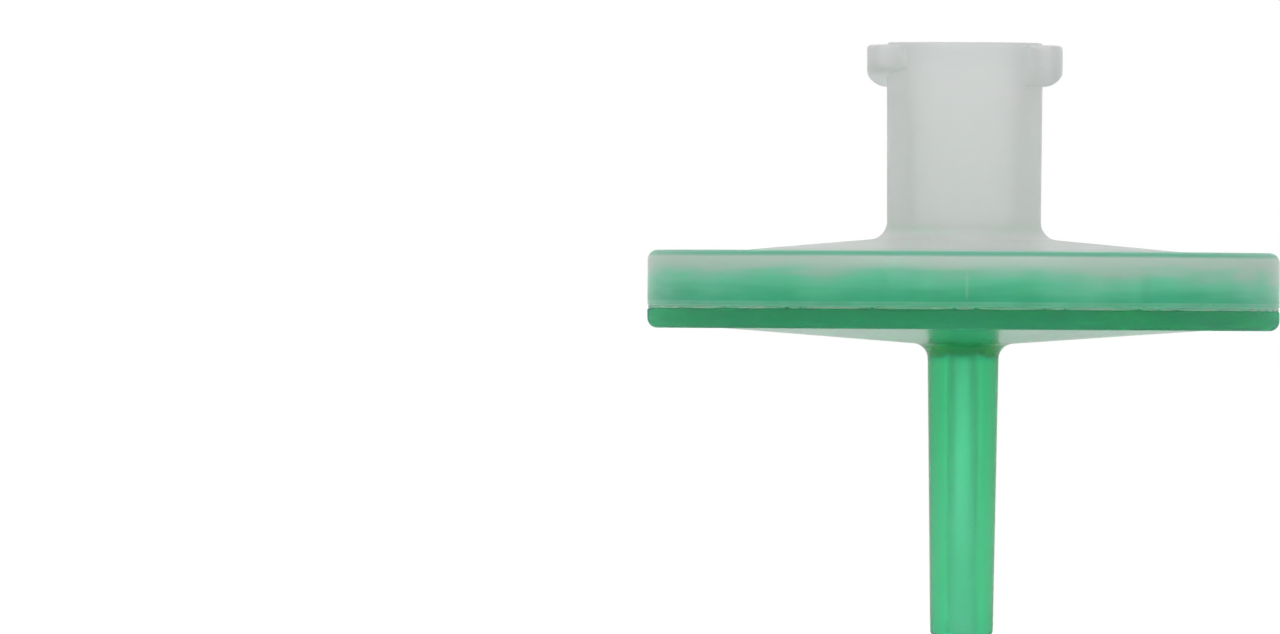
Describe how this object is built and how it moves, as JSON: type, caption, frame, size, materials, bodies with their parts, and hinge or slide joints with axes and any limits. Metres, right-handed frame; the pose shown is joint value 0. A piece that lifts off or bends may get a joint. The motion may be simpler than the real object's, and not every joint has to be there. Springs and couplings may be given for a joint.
{
  "type": "syringe filter",
  "caption": "Disposable disc filter for a syringe: luer lock inlet, welded clear and green plastic halves, white filter disc and a slim outlet nozzle.",
  "frame": {"origin": "centre of the luer socket's mouth", "axes": "+Z out of the inlet along the filter's axis, so the outlet nozzle points to -Z; +X through one luer lug"},
  "size_m": [0.0252, 0.0252, 0.0236],
  "materials": {
    "milky_polypropylene": "natural milky polypropylene, see-through where thin",
    "green_polypropylene": "translucent green polypropylene",
    "membrane": "dull white microporous film"
  },
  "bodies": {
    "root": {"inlet_housing": "milky_polypropylene", "outlet_housing": "green_polypropylene", "filter_membrane": "membrane"}
  },
  "joints": []
}
